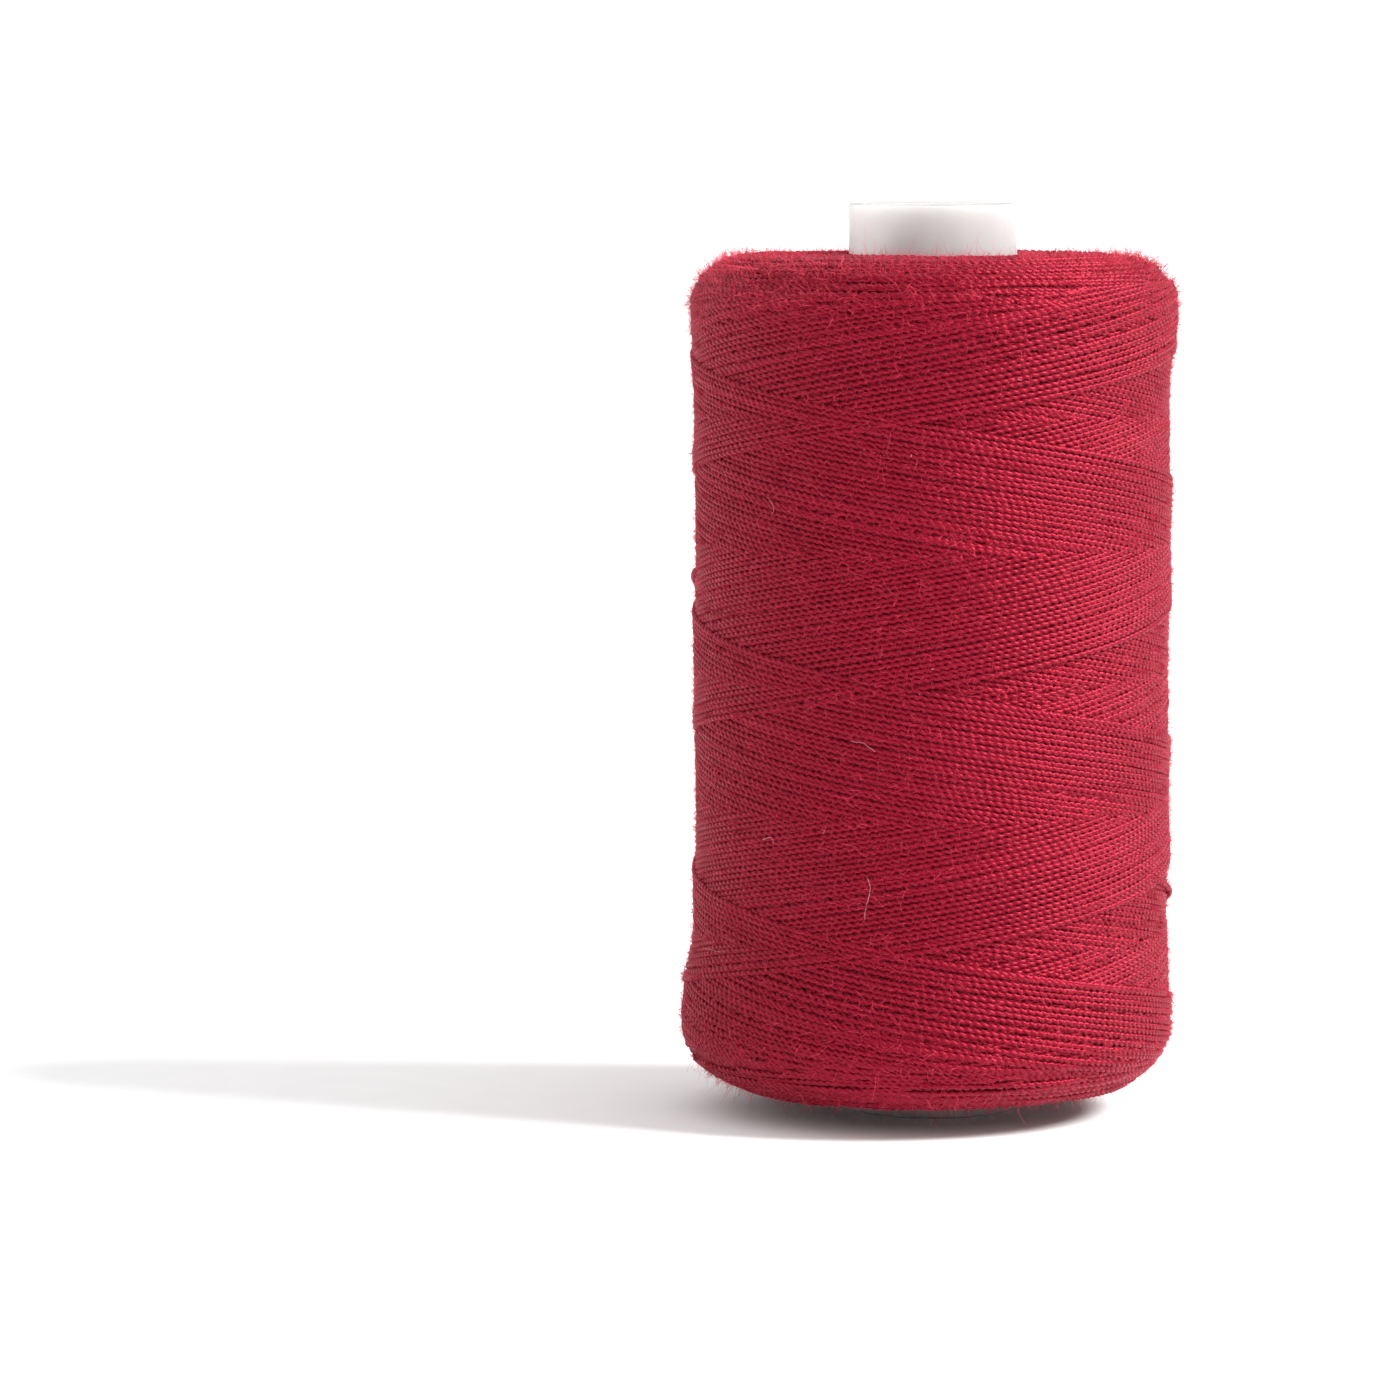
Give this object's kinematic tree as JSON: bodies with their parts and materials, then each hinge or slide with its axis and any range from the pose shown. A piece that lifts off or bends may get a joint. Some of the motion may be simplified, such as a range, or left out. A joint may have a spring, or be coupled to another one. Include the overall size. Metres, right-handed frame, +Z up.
{
  "type": "spool of sewing thread",
  "caption": "Small tube spool of cross-wound sewing thread: a plain plastic tube with a round-shouldered thread package on it.",
  "frame": {"origin": "on the spool's axis, at the lower rim of the tube that it stands on", "axes": "+Z up along the tube's axis; -X points to the thread nick in the upper rim"},
  "size_m": [0.029, 0.029, 0.0537],
  "materials": {
    "tube_plastic": "satin",
    "thread": "matte"
  },
  "bodies": {
    "root": {"tube": "tube_plastic", "thread_package": "thread"}
  },
  "joints": []
}
